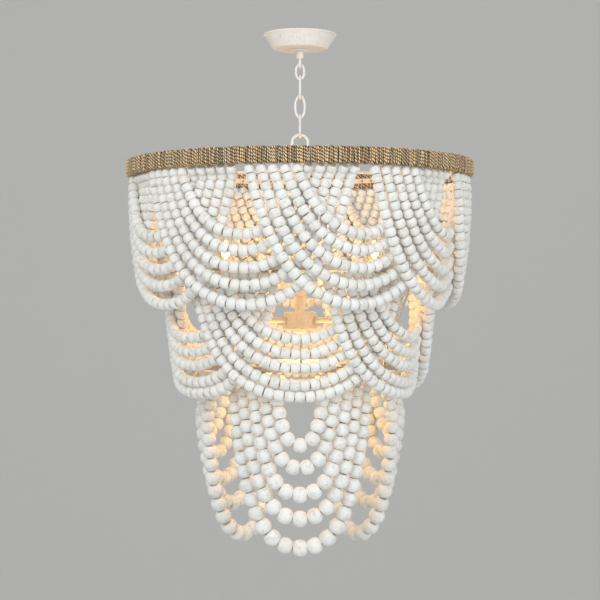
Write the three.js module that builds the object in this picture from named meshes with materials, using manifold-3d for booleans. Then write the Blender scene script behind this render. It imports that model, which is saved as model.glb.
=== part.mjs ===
// Beaded chandelier: a ceiling canopy, a short chain, a rope-wrapped ring and three tiers of bead swags
// round a three-armed light. Millimetres, +Z up, the ceiling at z = 0 and the front at -Y.
import * as THREE from "three";
import { mergeVertices } from "three/addons/utils/BufferGeometryUtils.js";
import Module from "manifold-3d";

const wasm = await Module();
wasm.setup();

// Clearances
const SEAT = 0.3; // between two pieces that rest on each other
const PLAY = 0.5; // between pieces that pass by each other
const LINK_PLAY = 0.8; // between the wires of two links at rest
const SINK = 1; // how far two bodies that become one reach into each other

// Ceiling plate, canopy and collar
const STRAP = { length: 100, width: 20, thick: 2 };
const CANOPY = { topRadius: 63.5, faceRadius: 46.75, height: 27, lip: 3, lipOut: 1.2, wall: 1.2, steps: 28 };
const NIPPLE = { radius: 4, grip: 5 };
const COLLAR_RING = { radius: 15, height: 3 };
const NECK = { radius: 6.35, length: 12, boreDepth: 6 };
const EYE = { wire: 5.4, radius: 7.2 };

// Chain
const WIRE = 4.4;
const FIRST_LINK = { height: 31, width: 20 };
const LINK = { height: 43.8, width: 22 };
const LINK_COUNT = 4;
const LINK_STEPS = 14;
const WIRE_SIDES = 6;
const BAIL = { wire: 5, radius: 14, height: 57.6 };

// Top ring: a hoop in a rope wrap, whose inner face leaves the bead rail bare
const RING = { radius: 305, height: 28, width: 21, rope: 4, slot: 10, rail: 2.5 };
const HOOP_STEPS = 40;

// Spider and stem
const SPIDER = { radius: 26, height: 9, spokeWidth: 14, spokeThick: 4, spokes: 3 };
const STEM = { radius: 6.35, length: 238, bare: 19 };
const SLEEVE_RADIUS = 12.35;
const TURN_STEPS = 16;

// Light hub, arms, candles and bulbs
const HUB = { bossRadius: 8.5, boss: 7, radius: 28.85, height: 31, lip: 1.2, lipHeight: 5 };
const CAP = { radius: 11, rim: 5, taper: 2.5, knob: 5, knobHeight: 7.5 };
const ARM = { wire: 10, level: 15, rise: 18, bend: 14, clear: 2.4 };
const ARM_COUNT = 3;
const BEND_STEPS = 4;
const CUP = { radius: 17, rim: 3, wall: 2 };
const CANDLE = { radius: 12, wall: 1.6, height: 68 };
const SOCKET = { wall: 2.4, boreDepth: 24, below: 4 };
const BULB = { glass: 17.5, tip: 2, glassLength: 76 };
const BULB_LENGTH_SHARES = [0, 0.12, 0.3, 0.48, 0.68, 0.86, 1];
const BULB_WIDTH_SHARES = [0.42, 0.68, 0.94, 1, 0.76, 0.34, 0];

// Strings of beads. A tier's strings hang from the underside of its rail, and the longest one drops by
// deepest. The strings of a woven tier lap over the next swag's on the left and under it on the right,
// and the two layers lie a little apart.
// Beads grow from bead at the rail to shortLowBead at the bottom of the shortest string and to lowBead
// at the bottom of the longest one, and a larger sizePower makes them grow sooner. Each string of a tier
// with a crowd lies that much further in than the string above it.
const STRINGS = 5;
const WEAVE = { front: 3, apart: 1, settle: 16, settlePower: 2.5, turnShare: 0.35 };
const CORD = { thick: 3, drop: 4 };
const STRING_STEP = 70;
const FEWEST_STEPS = 3;
const STATION_SPREAD = 0.8; // below 1, stations gather where a string is steep
const UPPER = {
  name: "upper_swag",
  groups: 9,
  centre: 20.8,
  inset: 15,
  bead: 17,
  shortLowBead: 19.4,
  lowBead: 20.2,
  sizePower: 1.5,
  between: 2,
  deepest: 219,
  dropShares: [0.484, 0.603, 0.731, 0.858, 1],
  bulgePower: 2.3,
  fullness: 1.25,
  woven: true,
  sides: 5,
};
const MIDDLE = {
  name: "middle_swag",
  groups: 6,
  centre: 0,
  inset: 59,
  fall: 167.8,
  bead: 16.8,
  shortLowBead: 19.2,
  lowBead: 20.2,
  sizePower: 1,
  between: 0.9,
  deepest: 202.1,
  dropShares: [0.532, 0.654, 0.766, 0.905, 1],
  bulgePower: 2,
  fullness: 1.3,
  woven: true,
  sides: 5,
};
const LOWER = {
  name: "lower_swag",
  groups: 3,
  centre: 0,
  inset: 57,
  fall: 168,
  bead: 18,
  shortLowBead: 24,
  lowBead: 28,
  sizePower: 1.5,
  between: 3,
  crowd: 6,
  deepest: 295,
  dropShares: [0.386, 0.519, 0.675, 0.82, 1],
  firstAngle: 13.8,
  fullness: 1.45,
  woven: false,
  sides: 6,
};
const TIERS = [UPPER, MIDDLE, LOWER];
const LOW_HOOP = { width: 6, height: 10 };
const HANGER = { wire: 4, lead: 14, apart: 0.8, first: 60, count: 3 };

const LOOKS = {
  enamel: { color: 0xe9e5de, roughness: 0.55, metalness: 0.1 },
  steel: { color: 0x9a9a98, roughness: 0.4, metalness: 0.9 },
  rope: { color: 0x9a7d58, roughness: 0.95, metalness: 0 },
  bead: { color: 0xe9e8e3, roughness: 0.85, metalness: 0 },
  candle: { color: 0xf0ead8, roughness: 0.6, metalness: 0 },
  socket: { color: 0x2a2926, roughness: 0.5, metalness: 0 },
  glass: { color: 0xffe2a8, roughness: 0.2, metalness: 0 },
};

const FULL_TURN = 360;
const MOST_BEND = 20;
const BEND_ERROR = 1e-9;
const root = new THREE.Group();

// The angle is in degrees from the front (-Y), growing towards +X.
function polar(radius, angle, z) {
  const turn = THREE.MathUtils.degToRad(angle);
  return new THREE.Vector3(radius * Math.sin(turn), -radius * Math.cos(turn), z);
}

// Turns a skin's triangles round when they face inwards.
function outward(geometry) {
  const places = geometry.getAttribute("position");
  const index = geometry.index.array;
  const corners = [new THREE.Vector3(), new THREE.Vector3(), new THREE.Vector3()];
  let volume = 0;
  for (let i = 0; i < index.length; i += 3) {
    corners.forEach((corner, j) => corner.fromBufferAttribute(places, index[i + j]));
    volume += corners[0].dot(corners[1].cross(corners[2]));
  }
  for (let i = 0; volume < 0 && i < index.length; i += 3) {
    [index[i], index[i + 1]] = [index[i + 1], index[i]];
  }
  return geometry;
}

// A closed skin over rings that all hold the same number of points. A looped one joins its two ends,
// and any other has a flat cap at each end.
function skin(rings, looped) {
  const sides = rings[0].length;
  const index = [];
  const spans = looped ? rings.length : rings.length - 1;
  for (let i = 0; i < spans; i++) {
    const here = i * sides;
    const next = ((i + 1) % rings.length) * sides;
    for (let j = 0; j < sides; j++) {
      const k = (j + 1) % sides;
      index.push(here + j, here + k, next + k);
      index.push(here + j, next + k, next + j);
    }
  }
  const end = (rings.length - 1) * sides;
  for (let j = 1; !looped && j < sides - 1; j++) {
    index.push(0, j + 1, j);
    index.push(end, end + j, end + j + 1);
  }
  const geometry = new THREE.BufferGeometry();
  const places = rings.flat().flatMap((point) => point.toArray());
  geometry.setAttribute("position", new THREE.Float32BufferAttribute(places, 3));
  geometry.setIndex(index);
  return outward(geometry);
}

// A round wire through stations { at, radius, across }. across is any direction that isn't along it.
// A station may also state the direction that it faces.
function wire(stations, sides, looped = false) {
  const count = stations.length;
  const rings = stations.map((station, i) => {
    const before = stations[looped ? (i + count - 1) % count : Math.max(i - 1, 0)].at;
    const after = stations[looped ? (i + 1) % count : Math.min(i + 1, count - 1)].at;
    const along = (station.along ?? after.clone().sub(before)).clone().normalize();
    const across = station.across.clone();
    across.addScaledVector(along, -across.dot(along)).normalize();
    const up = along.clone().cross(across);
    return Array.from({ length: sides }, (_, j) => {
      const turn = (2 * Math.PI * j) / sides;
      const point = station.at.clone();
      point.addScaledVector(across, station.radius * Math.cos(turn));
      return point.addScaledVector(up, station.radius * Math.sin(turn));
    });
  });
  return skin(rings, looped);
}

// A solid of revolution about Z through [radius, z] pairs, with a flat disc at its first and last pair.
function turned(profile, steps = TURN_STEPS) {
  const rings = profile.map(([radius, z]) =>
    Array.from({ length: steps }, (_, i) => polar(radius, (FULL_TURN * i) / steps, z)),
  );
  return skin(rings, false);
}

// A ring about Z whose closed section is given as [radius, z] pairs.
function hoop(section, steps = TURN_STEPS) {
  const rings = Array.from({ length: steps }, (_, i) =>
    section.map(([radius, z]) => polar(radius, (FULL_TURN * i) / steps, z)),
  );
  return skin(rings, true);
}

// The radius at which a faceted ring's surface lies at an angle, given the radius of its corners.
function facetRadius(radius, angle, steps) {
  const facet = FULL_TURN / steps;
  const off = THREE.MathUtils.euclideanModulo(angle, facet) - facet / 2;
  return (radius * Math.cos(Math.PI / steps)) / Math.cos(THREE.MathUtils.degToRad(off));
}

// A ring with a rectangular section.
function band(inner, outer, bottom, top, steps) {
  return hoop(
    [
      [inner, bottom],
      [outer, bottom],
      [outer, top],
      [inner, top],
    ],
    steps,
  );
}

function block(width, depth, height, x, y, z) {
  return new THREE.BoxGeometry(width, depth, height).translate(x, y, z);
}

// Several closed geometries as one solid.
function joined(geometries) {
  const solids = geometries.map((geometry) => {
    const bare = geometry.clone();
    bare.deleteAttribute("normal");
    bare.deleteAttribute("uv");
    const merged = mergeVertices(bare);
    return new wasm.Manifold(
      new wasm.Mesh({
        numProp: 3,
        vertProperties: merged.getAttribute("position").array,
        triVerts: new Uint32Array(merged.index.array),
      }),
    );
  });
  const whole = solids.reduce((sum, solid) => sum.add(solid)).getMesh();
  const geometry = new THREE.BufferGeometry();
  geometry.setAttribute("position", new THREE.BufferAttribute(whole.vertProperties, 3));
  geometry.setIndex(new THREE.BufferAttribute(whole.triVerts, 1));
  return geometry;
}

function add(name, geometry, look) {
  const mesh = new THREE.Mesh(geometry, new THREE.MeshStandardMaterial(LOOKS[look]));
  mesh.name = name;
  root.add(mesh);
  return mesh;
}

// Ceiling plate, canopy, nipple and collar. Returns the depth of the eye's bottom wire.
function ceilingEnd() {
  const { length, width, thick } = STRAP;
  add("mounting_strap", block(length, width, thick, 0, 0, -thick / 2), "steel");

  const { topRadius, faceRadius, height, lip, lipOut, wall, steps } = CANOPY;
  const hole = NIPPLE.radius + PLAY;
  const shell = [
    [topRadius, 0],
    [topRadius + lipOut, -lip / 2],
    [topRadius, -lip],
    [faceRadius, -height],
    [hole, -height],
    [hole, wall - height],
    [faceRadius - wall, wall - height],
    [topRadius - wall, -lip],
    [topRadius - wall, 0],
  ];
  add("canopy", hoop(shell, steps), "enamel");

  const ringTop = -height - SEAT;
  const ringBottom = ringTop - COLLAR_RING.height;
  add("collar_ring", band(NIPPLE.radius + SEAT, COLLAR_RING.radius, ringBottom, ringTop), "enamel");

  const neckTop = ringBottom - SEAT;
  const nippleEnd = neckTop - NIPPLE.grip;
  const nipple = [
    [NIPPLE.radius, nippleEnd],
    [NIPPLE.radius, -thick - SEAT],
  ];
  add("threaded_nipple", turned(nipple), "steel");

  const neckBottom = neckTop - NECK.length;
  const neck = [
    [NIPPLE.radius + SEAT, neckTop - NECK.boreDepth],
    [NIPPLE.radius + SEAT, neckTop],
    [NECK.radius, neckTop],
    [NECK.radius, neckBottom],
  ];
  const eyeCentre = neckBottom - EYE.radius - EYE.wire / 2 + SINK;
  const eye = loop(EYE.radius, EYE.radius, eyeCentre, EYE.wire, "y");
  add("collar_loop", joined([turned(neck), eye]), "enamel");
  return eyeCentre - EYE.radius;
}

// An oval wire loop about z, standing in the X-Z plane for "x" and in the Y-Z plane for "y".
function loop(halfWidth, halfHeight, z, thick, plane) {
  const stations = Array.from({ length: LINK_STEPS }, (_, i) => {
    const turn = (2 * Math.PI * i) / LINK_STEPS;
    const out = halfWidth * Math.sin(turn);
    const height = z + halfHeight * Math.cos(turn);
    const at = plane === "x" ? new THREE.Vector3(out, 0, height) : new THREE.Vector3(0, out, height);
    const across = plane === "x" ? new THREE.Vector3(0, 1, 0) : new THREE.Vector3(1, 0, 0);
    return { at, radius: thick / 2, across };
  });
  return wire(stations, WIRE_SIDES, true);
}

// The chain hangs from a wire of the given thickness. Returns the height of the last link's bottom wire.
function chain(carrier, carrierWire) {
  let hook = carrier;
  let hookWire = carrierWire;
  for (let i = 0; i < LINK_COUNT; i++) {
    const { height, width } = i === 0 ? FIRST_LINK : LINK;
    const top = hook + (hookWire + WIRE) / 2 + LINK_PLAY;
    const bottom = top - height + WIRE;
    const plane = i % 2 === 0 ? "x" : "y";
    const link = loop((width - WIRE) / 2, (top - bottom) / 2, (top + bottom) / 2, WIRE, plane);
    add(`chain_link_${i + 1}`, link, "enamel");
    hook = bottom;
    hookWire = WIRE;
  }
  return hook;
}

// The bail over the last link. Returns the height of its feet.
function bail(hook) {
  const top = hook + (WIRE + BAIL.wire) / 2 + LINK_PLAY;
  const foot = top - BAIL.height;
  const across = new THREE.Vector3(0, 1, 0);
  const arc = Array.from({ length: LINK_STEPS / 2 + 1 }, (_, i) => {
    const turn = (2 * Math.PI * i) / LINK_STEPS;
    const x = -BAIL.radius * Math.cos(turn);
    return new THREE.Vector3(x, 0, top - BAIL.radius + BAIL.radius * Math.sin(turn));
  });
  const ends = [-1, 1].map((side) => new THREE.Vector3(side * BAIL.radius, 0, foot));
  const stations = [ends[0], ...arc, ends[1]].map((at) => ({ at, radius: BAIL.wire / 2, across }));
  add("frame_loop", wire(stations, WIRE_SIDES), "enamel");
  return foot;
}

// The rope-wrapped ring about its middle height: the hoop, the bead rail and the wrap round both.
function topRing(middle) {
  const inner = RING.radius - RING.width;
  const top = middle + RING.height / 2;
  const bottom = middle - RING.height / 2;
  const slot = RING.slot / 2;
  const core = {
    inner: inner + RING.rope,
    outer: RING.radius - RING.rope,
    half: RING.height / 2 - RING.rope,
  };
  const wrap = [
    [RING.radius, bottom],
    [RING.radius, top],
    [inner, top],
    [inner, middle + slot],
    [core.inner, middle + slot],
    [core.inner, middle + core.half],
    [core.outer, middle + core.half],
    [core.outer, middle - core.half],
    [core.inner, middle - core.half],
    [core.inner, middle - slot],
    [inner, middle - slot],
    [inner, bottom],
  ];
  add("rope_wrap", hoop(wrap, HOOP_STEPS), "rope");
  const hoopInner = core.inner + SEAT;
  const half = core.half - SEAT;
  add("top_hoop", band(hoopInner, core.outer - SEAT, middle - half, middle + half, HOOP_STEPS), "steel");
  const railOuter = hoopInner - SEAT;
  const railHalf = slot - SEAT;
  const rail = band(railOuter - RING.rail, railOuter, middle - railHalf, middle + railHalf, HOOP_STEPS);
  add("bead_rail", rail, "enamel");
  return { inner, bottom, railInner: railOuter - RING.rail };
}

// The hub and spokes that carry the ring, seated on the rail's inner face.
function spider(middle, railInner) {
  const { radius, height, spokeWidth, spokeThick, spokes } = SPIDER;
  const hub = turned([
    [radius, middle - height / 2],
    [radius, middle + height / 2],
  ]);
  const start = radius - spokeWidth / 2;
  const end = railInner * Math.cos(Math.PI / HOOP_STEPS) - SEAT;
  const bars = Array.from({ length: spokes }, (_, i) => {
    const bar = block(spokeWidth, end - start, spokeThick, 0, -(start + end) / 2, middle);
    return bar.rotateZ((2 * Math.PI * i) / spokes);
  });
  add("top_spider", joined([hub, ...bars]), "enamel");
}

// The stem and its sleeve. Returns the height of the stem's end.
function stem(top) {
  const end = top - STEM.length;
  const tube = [
    [STEM.radius, end],
    [STEM.radius, top],
  ];
  add("stem_tube", turned(tube), "enamel");
  add("stem_sleeve", band(STEM.radius + SEAT, SLEEVE_RADIUS, end + STEM.bare, top), "enamel");
  return end;
}

// The light hub, its cap and the three candle arms.
function light(top, reach) {
  const under = top - HUB.boss;
  const bottom = under - HUB.height;
  const hub = [
    [HUB.bossRadius, top],
    [HUB.bossRadius, under],
    [HUB.radius, under],
    [HUB.radius, bottom + HUB.lipHeight],
    [HUB.radius + HUB.lip, bottom + HUB.lipHeight],
    [HUB.radius + HUB.lip, bottom],
  ];
  add("light_hub", turned(hub, 2 * TURN_STEPS), "enamel");
  const capTop = bottom - SEAT;
  const knobTop = capTop - CAP.rim - CAP.taper;
  const cap = [
    [CAP.radius, capTop],
    [CAP.radius, capTop - CAP.rim],
    [CAP.knob, knobTop],
    [CAP.knob, knobTop - CAP.knobHeight],
  ];
  add("hub_cap", turned(cap), "enamel");
  for (let i = 0; i < ARM_COUNT; i++) {
    const angle = (FULL_TURN * (i + 1 / 2)) / ARM_COUNT;
    candleArm(i + 1, angle, under - ARM.level, reach);
  }
}

// One arm with its cup, candle sleeve, socket and bulb.
function candleArm(number, angle, level, reach) {
  const top = level + ARM.rise;
  const start = HUB.radius + SEAT;
  const across = polar(1, angle + FULL_TURN / 4, 0);
  const corner = reach - ARM.bend;
  const places = [
    [start, level],
    [(start + corner) / 2, level],
    [corner, level],
  ];
  for (let i = 1; i <= BEND_STEPS; i++) {
    const turn = (Math.PI * i) / (2 * BEND_STEPS);
    places.push([corner + ARM.bend * Math.sin(turn), level + ARM.bend * (1 - Math.cos(turn))]);
  }
  places.push([reach, top]);
  const stations = places.map(([radius, z]) => ({
    at: polar(radius, angle, z),
    radius: ARM.wire / 2,
    across,
  }));
  add(`arm_${number}`, wire(stations, 2 * WIRE_SIDES), "enamel");

  const cupBottom = top + SEAT;
  const cupFloor = cupBottom + CUP.wall;
  const floorRadius = CANDLE.radius + PLAY;
  const cup = [
    [floorRadius, cupBottom],
    [CUP.radius, cupBottom + CUP.rim],
    [CUP.radius, cupFloor + CUP.rim],
    [floorRadius, cupFloor],
  ];
  const candleBottom = cupFloor + SEAT;
  const candleTop = candleBottom + CANDLE.height;
  const bore = CANDLE.radius - CANDLE.wall;
  const sleeve = band(bore, CANDLE.radius, candleBottom, candleTop);
  const socketRadius = bore - SEAT;
  const socketTop = candleTop - SOCKET.below;
  const bulbBore = socketRadius - SOCKET.wall;
  const socket = [
    [bulbBore, socketTop - SOCKET.boreDepth],
    [bulbBore, socketTop],
    [socketRadius, socketTop],
    [socketRadius, candleBottom],
  ];
  const base = bulbBore - SEAT;
  const glassBottom = candleTop + SEAT;
  const bulb = [
    [base, socketTop - SOCKET.boreDepth + SEAT],
    [base, glassBottom],
  ];
  BULB_LENGTH_SHARES.forEach((share, i) => {
    const radius = THREE.MathUtils.lerp(BULB.tip, BULB.glass, BULB_WIDTH_SHARES[i]);
    bulb.push([radius, glassBottom + BULB.glassLength * share]);
  });
  const shapes = {
    [`drip_cup_${number}`]: [turned(cup), "enamel"],
    [`candle_sleeve_${number}`]: [sleeve, "candle"],
    [`socket_${number}`]: [turned(socket), "socket"],
    [`bulb_${number}`]: [turned(bulb), "glass"],
  };
  for (const [name, [geometry, look]] of Object.entries(shapes)) {
    const centre = polar(reach, angle, 0);
    add(name, geometry.translate(centre.x, centre.y, 0), look);
  }
}

// The bend of a hanging string whose half span and drop are given: cosh(bend) - 1 = bend * drop / half.
function hangingBend(half, drop) {
  let low = BEND_ERROR;
  let high = MOST_BEND;
  while (high - low > BEND_ERROR) {
    const middle = (low + high) / 2;
    if (Math.cosh(middle) - 1 > (middle * drop) / half) {
      high = middle;
    } else {
      low = middle;
    }
  }
  return low;
}

// Fills in the sizes of the tiers that follow from other sizes.
function settleTiers(ring) {
  let radius = RING.radius;
  let rail = ring.bottom;
  TIERS.forEach((tier) => {
    radius -= tier.inset;
    rail -= tier.fall ?? 0;
    tier.radius = radius;
    tier.rail = rail;
    tier.top = rail - SEAT - CORD.drop;
    const pitch = tier.bead + tier.between;
    tier.step = THREE.MathUtils.radToDeg(pitch / radius);
    const most = Math.floor((2 * Math.PI * radius) / (2 * STRINGS * pitch));
    tier.count = Math.min(tier.groups, most);
    tier.first = tier.woven ? FULL_TURN / (2 * tier.count) + tier.step / 2 : tier.firstAngle;
    tier.lap = tier.lowBead + WEAVE.apart;
  });
  TIERS.forEach((tier, i) => {
    if (!tier.woven) return;
    const inside = TIERS[i + 1];
    const insideFront = inside.radius + (inside.woven ? WEAVE.front : 0) + inside.bead / 2;
    const lowest = insideFront + PLAY + tier.lowBead / 2 + tier.lap;
    tier.bulge = tier.radius + WEAVE.front - lowest;
  });
}

// How far a string has settled into its own layer, from 0 at the rail to 1.
function settling(fall) {
  return 1 - (1 - Math.min(fall / WEAVE.settle, 1)) ** WEAVE.settlePower;
}

// The radius of a woven string: the left half lies in the front layer and the right half behind it.
function wovenRadius(tier, fall, t) {
  const turn = THREE.MathUtils.clamp(-t / WEAVE.turnShare, -1, 1);
  const side = Math.sin((Math.PI * turn) / 2);
  const lean = WEAVE.front + (tier.lap * (side - 1)) / 2;
  return tier.radius + settling(fall) * lean - tier.bulge * (fall / tier.deepest) ** tier.bulgePower;
}

// The station at t of one string, from -1 at its left end to 1 at its right end.
function onString(tier, string, centre, t) {
  const along = t * string.half;
  const level = (Math.cosh(string.bend * t) - 1) / (Math.cosh(string.bend) - 1);
  const fall = string.drop * (1 - level);
  const chord = string.chord - string.pushed * settling(fall);
  const angle = centre + THREE.MathUtils.radToDeg(Math.atan2(along, chord));
  const radius = tier.woven ? wovenRadius(tier, fall, t) : Math.hypot(along, chord);
  const bead = THREE.MathUtils.lerp(string.lowBead, tier.bead, level ** tier.sizePower);
  return { at: polar(radius, angle, tier.top - fall), radius: bead / 2, across: polar(1, angle, 0) };
}

// Where a string's stations lie: close together where it leaves the rail, then evenly down to its middle.
function stringShares(tier, string) {
  const shareAt = (fall) => {
    const level = 1 - fall / string.drop;
    return Math.acosh(1 + level * (Math.cosh(string.bend) - 1)) / string.bend;
  };
  const ends = tier.woven ? [1, shareAt(WEAVE.settle / 2), shareAt(WEAVE.settle)] : [1];
  const last = ends.at(-1);
  const steps = Math.max(FEWEST_STEPS, Math.round(Math.hypot(string.half, string.drop) / STRING_STEP));
  const half = [...ends];
  for (let i = 1; i < steps; i++) {
    half.push(last * (1 - i / steps) ** STATION_SPREAD);
  }
  return [...half.map((share) => -share), 0, ...half.toReversed()];
}

// One swag: five nested strings on one cord, which runs on along the rail from each string to the next.
function swag(tier, centre) {
  const up = new THREE.Vector3(0, 0, 1);
  const stations = [];
  for (let k = 0; k < STRINGS; k++) {
    const halfAngle = THREE.MathUtils.degToRad(tier.first + k * tier.step);
    const half = tier.radius * Math.sin(halfAngle);
    const chord = tier.radius * Math.cos(halfAngle);
    const drop = tier.deepest * tier.dropShares[k];
    const lowBead = THREE.MathUtils.lerp(tier.shortLowBead, tier.lowBead, k / (STRINGS - 1));
    const pushed = k * (tier.crowd ?? 0);
    const string = { half, chord, drop, lowBead, pushed, bend: tier.fullness * hangingBend(half, drop) };
    const way = k % 2 === 0 ? 1 : -1;
    const run = stringShares(tier, string).map((t) => onString(tier, string, centre, way * t));
    run[0].along = up.clone().negate();
    run.at(-1).along = up;
    const cordAt = ({ at, across }) => ({
      at: at.clone().addScaledVector(up, CORD.drop - CORD.thick / 2),
      radius: CORD.thick / 2,
      across,
    });
    stations.push(cordAt(run[0]), ...run, cordAt(run.at(-1)));
  }
  return wire(stations, tier.sides);
}

function swags() {
  TIERS.forEach((tier) => {
    for (let i = 0; i < tier.count; i++) {
      const centre = tier.centre + (FULL_TURN * i) / tier.count;
      add(`${tier.name}_${i + 1}`, swag(tier, centre), "bead");
    }
  });
}

// The angle of a hanger: that of the swag nearest to its even place, where no string leaves the rail.
function hangerAngle(tier, number) {
  const even = HANGER.first + (FULL_TURN * number) / HANGER.count;
  const between = FULL_TURN / tier.count;
  return tier.centre + between * Math.round((even - tier.centre) / between);
}

// The two lower hoops and the hangers between the hoops. Returns the candles' radius.
function lowerFrame(ring) {
  const hoops = TIERS.slice(1).map((tier) => ({
    inner: tier.radius - LOW_HOOP.width / 2,
    outer: tier.radius + LOW_HOOP.width / 2,
    bottom: tier.rail,
    top: tier.rail + LOW_HOOP.height,
  }));
  ["middle_hoop", "lower_hoop"].forEach((name, i) => {
    const { inner, outer, bottom, top } = hoops[i];
    add(name, band(inner, outer, bottom, top, HOOP_STEPS), "steel");
  });
  const seat = SEAT + HANGER.wire / 2;
  const carriers = [{ inner: ring.inner, top: ring.bottom + RING.height, bottom: ring.bottom }, ...hoops];
  ["upper_hanger", "lower_hanger"].forEach((name, i) => {
    const above = carriers[i];
    const below = carriers[i + 1];
    for (let j = 0; j < HANGER.count; j++) {
      const angle = hangerAngle(TIERS[i], j) - i * HANGER.apart;
      const across = polar(1, angle + FULL_TURN / 4, 0);
      const high = facetRadius(above.inner, angle, HOOP_STEPS) - seat;
      const low = facetRadius(below.inner, angle, HOOP_STEPS) - seat;
      const places = [
        [high, above.top],
        [high, above.bottom - HANGER.lead / 2],
        [low, below.top + HANGER.lead],
        [low, below.bottom],
      ];
      const stations = places.map(([radius, z]) => ({
        at: polar(radius, angle, z),
        radius: HANGER.wire / 2,
        across,
      }));
      add(`${name}_${j + 1}`, wire(stations, WIRE_SIDES), "steel");
    }
  });
  const narrowest = hoops[1].inner * Math.cos(Math.PI / HOOP_STEPS);
  return narrowest - HANGER.wire - CUP.radius - ARM.clear;
}

const eyeBottom = ceilingEnd();
const bailFoot = bail(chain(eyeBottom, EYE.wire));
const middle = bailFoot - SEAT - SPIDER.height / 2;
const ring = topRing(middle);
spider(middle, ring.railInner);
settleTiers(ring);
const reach = lowerFrame(ring);
const stemEnd = stem(middle - SPIDER.height / 2 - SEAT);
light(stemEnd - SEAT, reach);
swags();

export default root;
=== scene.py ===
import math
from dataclasses import dataclass
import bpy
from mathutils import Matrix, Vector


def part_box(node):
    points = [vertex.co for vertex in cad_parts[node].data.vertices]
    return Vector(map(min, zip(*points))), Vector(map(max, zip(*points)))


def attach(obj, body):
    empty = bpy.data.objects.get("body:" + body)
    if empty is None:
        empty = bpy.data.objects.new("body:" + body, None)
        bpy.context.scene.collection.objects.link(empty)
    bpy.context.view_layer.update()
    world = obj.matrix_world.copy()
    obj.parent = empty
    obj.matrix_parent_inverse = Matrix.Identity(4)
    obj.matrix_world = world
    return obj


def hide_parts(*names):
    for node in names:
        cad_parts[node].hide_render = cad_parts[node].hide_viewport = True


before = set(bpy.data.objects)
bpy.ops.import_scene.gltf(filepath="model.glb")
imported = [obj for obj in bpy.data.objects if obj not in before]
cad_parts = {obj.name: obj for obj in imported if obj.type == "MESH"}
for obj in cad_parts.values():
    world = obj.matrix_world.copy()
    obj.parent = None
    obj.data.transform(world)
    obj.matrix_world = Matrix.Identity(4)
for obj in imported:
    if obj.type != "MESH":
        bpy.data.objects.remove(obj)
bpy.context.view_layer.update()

from types import SimpleNamespace as Sizes

import bpy
import numpy as np

# The looks of a beaded chandelier: separate beads on their cords, a ring wound with rope, worn white
# enamel and a warm candle-arm light. Metres, +Z up, the ceiling at z = 0 and the front at -Y.

SEED = 7
noise = np.random.default_rng(SEED)

# Clearances and roundings
SEAT = 0.0003
PLAY = 0.0005
RIM = 0.0008  # the usual rounding of a turned edge
AXIS = 0.0005  # how near the axis a turned solid's flat ends start
TUBE_SEAM = (0.3, 0.2, 1.0)  # a direction that no tube starts along, from which its seam is set
LONGEST_REACH = 0.45  # how much of a side a rounding may take at either end

# Ceiling end, chain and bail. The links' wire is thin enough for round links to swing clear.
NIPPLE_RADIUS = 0.004
CANOPY = Sizes(face=0.04675, wall=0.0012, lip=0.003, lip_out=0.0012, tuck=0.0008, rounding=0.0011)
CANOPY_BEVEL = Sizes(width=0.0022, height=0.0018)
LIP_SLANT_SHARE = 0.3
NECK = Sizes(radius=0.00635, bore=0.0044, bore_depth=0.006, taper=0.002, tip_share=0.62, sink=0.0002)
EYE = Sizes(wire=0.0050, radius=0.0072)
WIRE = 0.0041
LINKS = 4
BAIL = Sizes(wire=0.005, radius=0.014, foot=0.0052, foot_height=0.004)

# Ring: rope round a hoop, with an uncovered strip inside
RING_WIDTH = 0.021
RING_INSET = 0.015  # how far in from the ring's edge the upper strings hang
ROPE = 0.0040
ROPE_TURNS = 520
ROPE_SIZES = (0.93, 1.06)  # the thinnest and thickest turn, as shares of the rope
ROPE_LAY = 0.0105  # the length of one full twist
ROPE_CORNER = 0.0032
ROPE_SPACING = 0.0008
ROPE_SIDES = 11
ROPE_PIECES = 8
TWIST_START = (1.0, 0.7)  # how far each turn's twist runs ahead of the last one's, and its spread
TURN_PROUD = 0.00018
TURN_DRIFT = 0.0005
PLY_VALLEY = 0.72  # a turn's thickness between its two plies, as a share
PLY_RISE = 0.32  # how much more it has on them
PAINTED_LIT_FACING = (0.45, 0.85)  # painted shade: how far a turn faces out where its dark painted shade between turns ends and where it is full straw
PAINTED_LIT_PLY = (0.3, 0.7)  # the same from between the plies to on them
SLOT = 0.010
RAIL = Sizes(thick=0.0025, rounding=0.0005)
# The dark plugs of painted shade in the strip's holes
HOLE = Sizes(radius=0.0016, depth=0.0005, proud=0.0002, sides=10)
CORD_END = Sizes(radius=0.0007, sway=0.15)

# Inner frame
SPIDER = Sizes(hub=0.026, bevel=0.004, bevel_height=0.002, bars=3)
SPIDER_BAR = Sizes(width=0.014, thick=0.004, start=0.020)
HOOP_WIDTH = 0.006
HANGER = Sizes(wire=0.004, lead=0.014, bend=0.008, count=3)
FLAT_END = 0.001  # how near a rod's end its corners lie

# Stem, hub and candle arms
STEM_RADIUS = 0.00635
SLEEVE_ROUNDING = 0.0012
HUB = Sizes(boss_radius=0.0085, boss=0.007, shoulder=0.0012, shoulder_height=0.0015)
HUB_FILLET = Sizes(width=0.002, height=0.0005)
HUB_LIP = Sizes(out=0.0012, height=0.005, taper=0.0015, edge=0.0008, edge_height=0.0006)
CAP = Sizes(radius=0.011, rim=0.005, taper=0.0025, knob=0.005, edge=0.001)
ARMS = 3
ARM = Sizes(wire=0.010, bend=0.014)
CUP = Sizes(floor=0.0125, flare=0.0026, wall=0.0012, thick=0.002, well=0.0006)
CANDLE = Sizes(wall=0.0016, rounding=0.0007)
SOCKET = Sizes(wall=0.0024, depth=0.024)

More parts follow.
